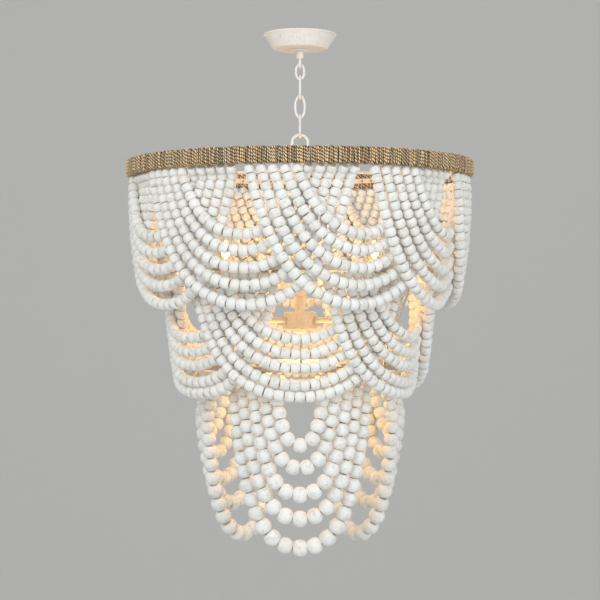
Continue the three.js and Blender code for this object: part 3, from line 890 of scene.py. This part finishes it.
def bead_rail(tier, material, hole_shade_material, cord_material):
    """The strip inside the ring that the rope leaves uncovered, its holes as dark plugs of painted shade, and
    the cord ends that are tied through them.
    """
    low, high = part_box("bead_rail")
    inner, middle = high.x - RAIL.thick, (low.z + high.z) / 2
    profile = rounded(band(inner, high.x, low.z, high.z), RAIL.rounding, steps=2, looped=True)
    shape = lathe(profile, steps=192, looped=True)
    piece("rail_strip", shape, material, "shade", ["bead_rail"])
    rope_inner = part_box("rope_wrap")[1].x - RING_WIDTH
    ends, holes = [], []
    for group in range(tier.groups):
        centre = tier.centre + 360 * group / tier.groups
        for k in range(STRINGS):
            for side in (-1, 1):
                angle = centre + side * (tier.first + k * tier.step)
                sway = noise.normal(0, CORD_END.sway)
                route = [
                    (inner + 0.001, angle, middle),
                    (rope_inner - 0.0012, angle, middle - 0.001),
                    (rope_inner - 0.0014, angle + sway / 2, middle - 0.006),
                    (rope_inner - 0.0012, angle + sway, tier.rail + 0.003),
                    (rope_inner + 0.0010, angle + sway, tier.rail - 0.0012),
                    (tier.radius - 0.001, angle, tier.rail - 0.0014),
                ]
                line = np.array([polar(*place) for place in route])
                ends.append(tube(line, CORD_END.radius, sides=5))
                holes.append(hole_shade_plug(polar(inner + HOLE.proud, angle, middle), angle))
    piece("rail_cord_ends", together(*ends), cord_material, "shade")
    # Painted shade: dark plugs where the strip is pierced
    piece("rail_hole_shades", together(*holes), hole_shade_material, "shade", smooth=False)


def hole_shade_plug(centre, angle):
    """A short round dark plug that faces the ring's middle, painted shade in one of the strip's holes."""
    outward = polar(1.0, angle, 0.0)
    across = polar(1.0, angle + 90, 0.0)
    turns = np.arange(HOLE.sides) * 2 * np.pi / HOLE.sides
    rim = centre + HOLE.radius * (np.outer(np.cos(turns), across) + np.outer(np.sin(turns), [0, 0, 1]))
    points = np.concatenate([rim - outward * HOLE.depth, rim + outward * HOLE.depth])
    return points, tube_faces(2, HOLE.sides)


# Canopy, chain and bail


def canopy(material):
    """A low cone with a rolled lip at the ceiling, bored for the nipple."""
    low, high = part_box("canopy")
    rim, bottom, top = high.x, low.z, high.z
    edge, lip_low, floor = rim - CANOPY.lip_out, top - CANOPY.lip, bottom + CANOPY.wall
    face, hole = CANOPY.face, NIPPLE_RADIUS + PLAY
    corners = [
        (edge, top), (rim, top - CANOPY.lip * LIP_SLANT_SHARE), (rim, lip_low),
        (edge - CANOPY.tuck, lip_low - CANOPY.tuck),
        (face + CANOPY_BEVEL.width, bottom + CANOPY_BEVEL.height), (face, bottom), (hole, bottom),
        (hole, floor), (face - CANOPY.wall, floor),
        (edge - 2 * CANOPY.wall, lip_low - CANOPY.wall), (edge - CANOPY.wall, top),
    ]
    shape = lathe(rounded(corners, CANOPY.rounding, looped=True), steps=144, looped=True)
    sharpen(piece("canopy_shell", shape, material, "ceiling", ["canopy"]), degrees=50)


def oval(half_width, half_height, z, count, faces_x):
    """The points of an upright oval about Z, which stands across X where it faces X, else across Y."""
    turns = np.linspace(0, 2 * np.pi, count, endpoint=False)
    out, up = half_width * np.sin(turns), z + half_height * np.cos(turns)
    return np.stack([0 * out, out, up] if faces_x else [out, 0 * out, up], axis=-1)


def collar(material, steel):
    """The flange under the canopy, and the neck with the eye that the chain hangs in."""
    low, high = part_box("collar_ring")
    ring = rounded(band(NIPPLE_RADIUS + SEAT, high.x, low.z, high.z), RIM, looped=True)
    shape = lathe(ring, steps=72, looped=True)
    piece("collar_flange", shape, material, "ceiling", ["collar_ring"])
    low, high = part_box("collar_loop")
    centre = low.z + EYE.wire / 2 + EYE.radius
    neck_low = centre + EYE.radius - NECK.sink
    neck = [
        (NECK.bore, high.z - NECK.bore_depth), (NECK.bore, high.z), (NECK.radius, high.z),
        (NECK.radius, neck_low + NECK.taper), (NECK.radius * NECK.tip_share, neck_low),
    ]
    eye = oval(EYE.radius, EYE.radius, centre, 48, faces_x=True)
    shape = together(lathe(rounded(neck, RIM), steps=48), tube(eye, EYE.wire / 2, sides=16, looped=True))
    piece("collar_eye", shape, material, "ceiling", ["collar_loop"])
    for node in ("mounting_strap", "threaded_nipple"):
        repaint(node, steel)


def repaint(node, material):
    """Gives a node of the frame that keeps its own shape a material."""
    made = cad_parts[node]
    made.data.materials.clear()
    made.data.materials.append(material)


def chain(material):
    """The oval links, each in its own body and a quarter turn from the last."""
    for number in range(1, LINKS + 1):
        node = f"chain_link_{number}"
        low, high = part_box(node)
        wide = max(high.x, high.y) - WIRE / 2
        tall = (high.z - low.z - WIRE) / 2
        line = oval(wide, tall, (high.z + low.z) / 2, 56, faces_x=high.y > high.x)
        shape = tube(line, WIRE / 2, sides=14, looped=True)
        piece(f"link_{number}_wire", shape, material, f"link_{number}", [node])


def bail(material):
    """The arched wire that the last link hangs in, on two round feet."""
    low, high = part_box("frame_loop")
    top = high.z - BAIL.wire / 2
    turns = np.linspace(-np.pi / 2, np.pi / 2, 25)
    arc = np.stack([BAIL.radius * np.sin(turns), 0 * turns, top - BAIL.radius * (1 - np.cos(turns))], axis=-1)
    legs = np.linspace(low.z, arc[0][2], 8)[:-1]
    left = [(-BAIL.radius, 0, z) for z in legs]
    right = [(BAIL.radius, 0, z) for z in legs[::-1]]
    foot = rounded(band(AXIS, BAIL.foot, low.z + BAIL.foot_height, low.z), RIM)
    feet = [lathe(foot, steps=32, centre=(side * BAIL.radius, 0)) for side in (-1, 1)]
    shape = together(tube([*left, *arc, *right], BAIL.wire / 2, sides=14), *feet)
    piece("bail_wire", shape, material, "shade", ["frame_loop"])


# Inner frame


def spider(material):
    """The hub that the bail and the stem meet in, and the bars from it to the ring."""
    low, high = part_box("top_spider")
    middle = (low.z + high.z) / 2
    bevel = SPIDER.hub - SPIDER.bevel
    profile = [
        (AXIS, high.z), (bevel, high.z), (SPIDER.hub, high.z - SPIDER.bevel_height),
        (SPIDER.hub, low.z + SPIDER.bevel_height), (bevel, low.z), (AXIS, low.z),
    ]
    wide, thick = SPIDER_BAR.width / 2, SPIDER_BAR.thick / 2
    bar = plate((-wide, low.y, middle - thick), (wide, -SPIDER_BAR.start, middle + thick))
    bars = [turned_about(bar, 360 * i / SPIDER.bars) for i in range(SPIDER.bars)]
    shape = together(lathe(rounded(profile, RIM), steps=72), *bars)
    sharpen(piece("spider_frame", shape, material, "shade", ["top_spider"]))


def hoops(material):
    """The two flat hoops that the middle and lower strings hang on. The third one is in the rope."""
    for node in ("middle_hoop", "lower_hoop"):
        low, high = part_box(node)
        corners = rounded(band(high.x - HOOP_WIDTH, high.x, low.z, high.z), RIM, steps=3, looped=True)
        shape = lathe(corners, steps=160, looped=True)
        piece(f"{node}_band", shape, material, "shade", [node])
    repaint("top_hoop", material)


def corners_of(node):
    """The corners of a node's solid."""
    return np.array([vertex.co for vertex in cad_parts[node].data.vertices])


def hangers(material):
    """The rods between the hoops, straight at both ends and slanted in between."""
    spans = (("upper_hanger", "rope_wrap", "middle_hoop"), ("lower_hanger", "middle_hoop", "lower_hoop"))
    for name, above, below in spans:
        high_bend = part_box(above)[0].z - HANGER.lead / 2
        low_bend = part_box(below)[1].z + HANGER.lead
        for number in range(1, HANGER.count + 1):
            node = f"{name}_{number}"
            corners = corners_of(node)
            tip = end_middle(corners, corners[:, 2].max())
            foot = end_middle(corners, corners[:, 2].min())
            angle = math.degrees(math.atan2(tip[0], -tip[1]))
            high, low = (math.hypot(x, y) for x, y, _ in (tip, foot))
            bends = [(high, tip[2]), (high, high_bend), (low, low_bend), (low, foot[2])]
            line = [polar(radius, angle, z) for radius, z in rounded(bends, HANGER.bend, steps=5)]
            shape = tube(line, HANGER.wire / 2, sides=12)
            piece(f"{node}_rod", shape, material, "shade", [node])


def end_middle(corners, height):
    """The middle of the corners that lie at a rod's flat end."""
    return corners[np.abs(corners[:, 2] - height) < FLAT_END].mean(axis=0)


# Light


def stem(material):
    """The tube from the spider to the hub, and the wider sleeve over most of it."""
    low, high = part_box("stem_tube")
    rod = rounded(band(AXIS, STEM_RADIUS, high.z, low.z), RIM)
    piece("stem_rod", lathe(rod, steps=48), material, "shade", ["stem_tube"])
    low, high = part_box("stem_sleeve")
    sleeve = rounded(band(STEM_RADIUS + SEAT, high.x, high.z, low.z), SLEEVE_ROUNDING, looped=True)
    shape = lathe(sleeve, steps=64, looped=True)
    piece("stem_cover", shape, material, "shade", ["stem_sleeve"])


def hub(material):
    """The drum that the arms come out of, with its boss and lip."""
    low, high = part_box("light_hub")
    wide, top, lip_top = high.x, high.z - HUB.boss, low.z + HUB_LIP.height
    body = wide - HUB_LIP.out
    profile = [
        (AXIS, high.z), (HUB.boss_radius, high.z), (HUB.boss_radius, top + HUB_FILLET.height),
        (HUB.boss_radius + HUB_FILLET.width, top), (body - HUB.shoulder, top),
        (body, top - HUB.shoulder_height), (body, lip_top + HUB_LIP.taper), (wide, lip_top),
        (wide, low.z + HUB_LIP.edge_height), (wide - HUB_LIP.edge, low.z), (AXIS, low.z),
    ]
    shape = lathe(rounded(profile, RIM, steps=3), steps=96)
    sharpen(piece("hub_body", shape, material, "shade", ["light_hub"]))


def hub_cap(material):
    """The cap that closes the hub, with its knob."""
    low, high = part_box("hub_cap")
    rim_low = high.z - CAP.rim
    profile = [
        (AXIS, high.z), (CAP.radius, high.z), (CAP.radius, rim_low), (CAP.knob, rim_low - CAP.taper),
        (CAP.knob, low.z + CAP.edge), (CAP.knob - CAP.edge, low.z), (AXIS, low.z),
    ]
    shape = lathe(rounded(profile, RIM, steps=3), steps=48)
    sharpen(piece("hub_finial", shape, material, "shade", ["hub_cap"]))


def arm(number, material):
    """A round arm that leaves the hub level and turns up to its cup."""
    node = f"arm_{number}"
    corners = corners_of(node)
    angle = 360 / ARMS * (number - 0.5)
    level, top = corners[:, 2].min() + ARM.wire / 2, corners[:, 2].max()
    out = corners[:, :2] @ polar(1.0, angle, 0.0)[:2]
    reach = out.max() - ARM.wire / 2
    bends = rounded([(out.min(), level), (reach, level), (reach, top)], ARM.bend, steps=12)
    shape = tube([polar(radius, angle, z) for radius, z in bends], ARM.wire / 2, sides=20)
    piece(f"{node}_tube", shape, material, "shade", [node])


def middle_of(node):
    """The middle of a node seen from above, and its box."""
    low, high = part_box(node)
    return ((low.x + high.x) / 2, (low.y + high.y) / 2), low, high


def drip_cup(number, material):
    """The shallow dish under a candle."""
    node = f"drip_cup_{number}"
    centre, low, high = middle_of(node)
    wide, floor_top = (high.x - low.x) / 2, low.z + CUP.thick
    profile = [
        (AXIS, low.z), (CUP.floor, low.z), (wide - CUP.wall, low.z + CUP.flare), (wide, high.z),
        (wide - CUP.wall, high.z), (CUP.floor + CUP.well, floor_top), (AXIS, floor_top),
    ]
    shape = lathe(rounded(profile, RIM), steps=64, centre=centre)
    piece(f"{node}_dish", shape, material, "shade", [node])


def candle_sleeve(number, material):
    """The plain tube that stands for a candle."""
    node = f"candle_sleeve_{number}"
    centre, low, high = middle_of(node)
    wide = (high.y - low.y) / 2
    sleeve = rounded(band(wide - CANDLE.wall, wide, low.z, high.z), CANDLE.rounding, looped=True)
    shape = lathe(sleeve, steps=64, looped=True, centre=centre)
    piece(f"candle_{number}_tube", shape, material, "shade", [node])


def socket(number, material):
    """The lamp socket in a candle, open at the top."""
    node = f"socket_{number}"
    centre, low, high = middle_of(node)
    wide, floor = (high.y - low.y) / 2, high.z - SOCKET.depth
    bore = wide - SOCKET.wall
    shell = [(AXIS, floor), (bore, floor), (bore, high.z), (wide, high.z), (wide, low.z), (AXIS, low.z)]
    shape = lathe(rounded(shell, RIM, steps=3), steps=48, centre=centre)
    piece(f"{node}_shell", shape, material, "shade", [node])


def screw_base(bottom, top):
    """The half section of a bulb's base: a tip, thread rings and a plain top."""
    profile = [(AXIS, bottom), (SCREW.tip, bottom), (SCREW.radius, bottom + SCREW.tip)]
    for i in range(SCREW.threads):
        z = bottom + SCREW.start + i * SCREW.pitch
        profile += [(SCREW.radius - SCREW.depth, z), (SCREW.radius, z + SCREW.pitch / 2)]
    return [*profile, (SCREW.radius, top), (AXIS, top)]


def filament_loops(centre, bottom, height):
    """The wires that bow out from the post's top and come together above it."""
    rise = np.linspace(0, 1, 9)
    out = FILAMENT.foot + (FILAMENT.bow - FILAMENT.foot) * np.sin(rise * np.pi)
    loops = []
    for i in range(FILAMENT.loops):
        turn = 2 * math.pi * (i + 0.5) / FILAMENT.loops
        path = [centre[0] + out * math.cos(turn), centre[1] + out * math.sin(turn), bottom + height * rise]
        loops.append(tube(np.stack(path, axis=-1), FILAMENT.wire / 2, sides=8))
    return loops


def bulb(number, looks):
    """A clear candle bulb: screw base, glass, and glowing filament loops on a glass post."""
    node = f"bulb_{number}"
    body = f"bulb_{'abc'[number - 1]}"
    centre, low, high = middle_of(node)
    glass_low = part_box(f"candle_sleeve_{number}")[1].z + SEAT
    length, wide = high.z - glass_low, (high.y - low.y) / 2
    shape = lathe(screw_base(low.z, glass_low), steps=40, centre=centre)
    piece(f"{node}_base", shape, looks["steel"], body)

    profile = [(wide * share, glass_low + length * along) for along, share in GLASS_SHARES]
    shape = lathe([(AXIS, glass_low), *profile], steps=48, centre=centre)
    glass = piece(f"{node}_glass", shape, looks["glass"], body, [node])
    glass.visible_shadow = False

    post_low, post_top = glass_low + POST.rise, glass_low + length * FILAMENT.post_share
    loops = filament_loops(centre, post_top, length * FILAMENT.height_share)
    piece(f"{node}_filament", together(*loops), looks["filament"], body)
    post = [(AXIS, post_low), (POST.radius, post_low), (FILAMENT.foot, post_top), (AXIS, post_top)]
    shape = lathe(rounded(post, RIM), steps=24, centre=centre)
    piece(f"{node}_stem", shape, looks["glass"], body)

    place = (*centre, glass_low + length * BULB_LIGHT_SHARE)
    lamp(f"{node}_light", place, BULB_WATTS, BULB_COLOUR, BULB_LIGHT_RADIUS, body)


def lamp(name, place, watts, colour, radius, body):
    """A warm lamp that moves with a body."""
    data = bpy.data.lights.new(name, "POINT")
    data.energy = watts
    data.color = colour
    data.shadow_soft_size = radius
    made = new_object(name, data, place)
    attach(made, body)
    return made


def downward_glow():
    """The light that the bulbs throw down between the arms, which the lowest strings catch."""
    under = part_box("light_hub")[0].z - GLOW_DROP
    made = lamp("downward_glow", (0, 0, under), GLOW_WATTS, GLOW_COLOUR, GLOW_RADIUS, "shade")
    made.visible_camera = False


# Stage


def camera():
    """A level camera in front of the object, at the photographed distance."""
    data = bpy.data.cameras.new("camera")
    data.lens = LENS
    data.sensor_width = SENSOR
    data.clip_end = FARTHEST
    made = new_object("camera", data, (0, -CAMERA_DISTANCE, CAMERA_HEIGHT))
    made.rotation_euler = (math.pi / 2, 0, 0)
    bpy.context.scene.camera = made


def area_light(name, light):
    """A square soft light that is aimed at the object's middle."""
    data = bpy.data.lights.new(name, "AREA")
    data.size = SOFTBOX
    data.energy = light.watts
    data.color = light.colour
    made = new_object(name, data, light.place)
    x, y, z = np.array(LIT_POINT) - np.array(light.place)
    made.rotation_euler = (math.atan2(math.hypot(x, y), -z), 0, math.atan2(-x, y))


def stage():
    """A pale floor that turns up into a pale backdrop, and soft light from the front."""
    line = [(-STAGE.wide, STAGE.floor)]
    for turn in np.linspace(0, np.pi / 2, 13):
        y = STAGE.back - STAGE.bend * (1 - math.sin(turn))
        line.append((y, STAGE.floor + STAGE.bend * (1 - math.cos(turn))))
    line.append((STAGE.back, STAGE.top))
    points = np.array([(side * STAGE.wide, y, z) for y, z in line for side in (-1, 1)])
    faces = [[2 * i, 2 * i + 1, 2 * i + 3, 2 * i + 2] for i in range(len(line) - 1)]
    mesh = bpy.data.meshes.new("backdrop")
    mesh.from_pydata(points.tolist(), [], faces)
    mesh.shade_smooth()
    mesh.materials.append(stage_look("pale_backdrop", STAGE.colour))
    made = new_object("backdrop", mesh)

    world = bpy.data.worlds.new("studio")
    world.use_nodes = True
    background = world.node_tree.nodes["Background"]
    background.inputs["Color"].default_value = SKY_COLOUR
    background.inputs["Strength"].default_value = SKY
    bpy.context.scene.world = world
    area_light("key", KEY)
    area_light("fill", FILL)
    bpy.context.scene.view_settings.view_transform = "Standard"


camera()
stage()
looks = {
    "bead": bead_look(),
    "cord": cord_look(),
    "rope": rope_look(),
    "enamel": enamel_look("antique_white", (0.84, 0.86, 0.87), (0.89, 0.905, 0.915)),
    "cream": enamel_look("aged_cream", (0.80, 0.72, 0.60), (0.87, 0.80, 0.69)),
    "rail": rail_look(),
    "steel": steel_look(),
    "hole": hole_shade_look(),
    "candle": candle_look(),
    "socket": socket_look(),
    "glass": glass_look(),
    "filament": filament_look(),
}
canopy(looks["enamel"])
collar(looks["enamel"], looks["steel"])
chain(looks["enamel"])
bail(looks["enamel"])
rope_turns(looks["rope"])
spider(looks["enamel"])
hoops(looks["steel"])
hangers(looks["steel"])
stem(looks["cream"])
hub(looks["cream"])
hub_cap(looks["cream"])
for number in range(1, ARMS + 1):
    arm(number, looks["cream"])
    drip_cup(number, looks["cream"])
    candle_sleeve(number, looks["candle"])
    socket(number, looks["socket"])
    bulb(number, looks)
downward_glow()
all_tiers = tiers()
bead_rail(all_tiers[0], looks["rail"], looks["hole"], looks["cord"])
swags(all_tiers, looks["bead"], looks["cord"])
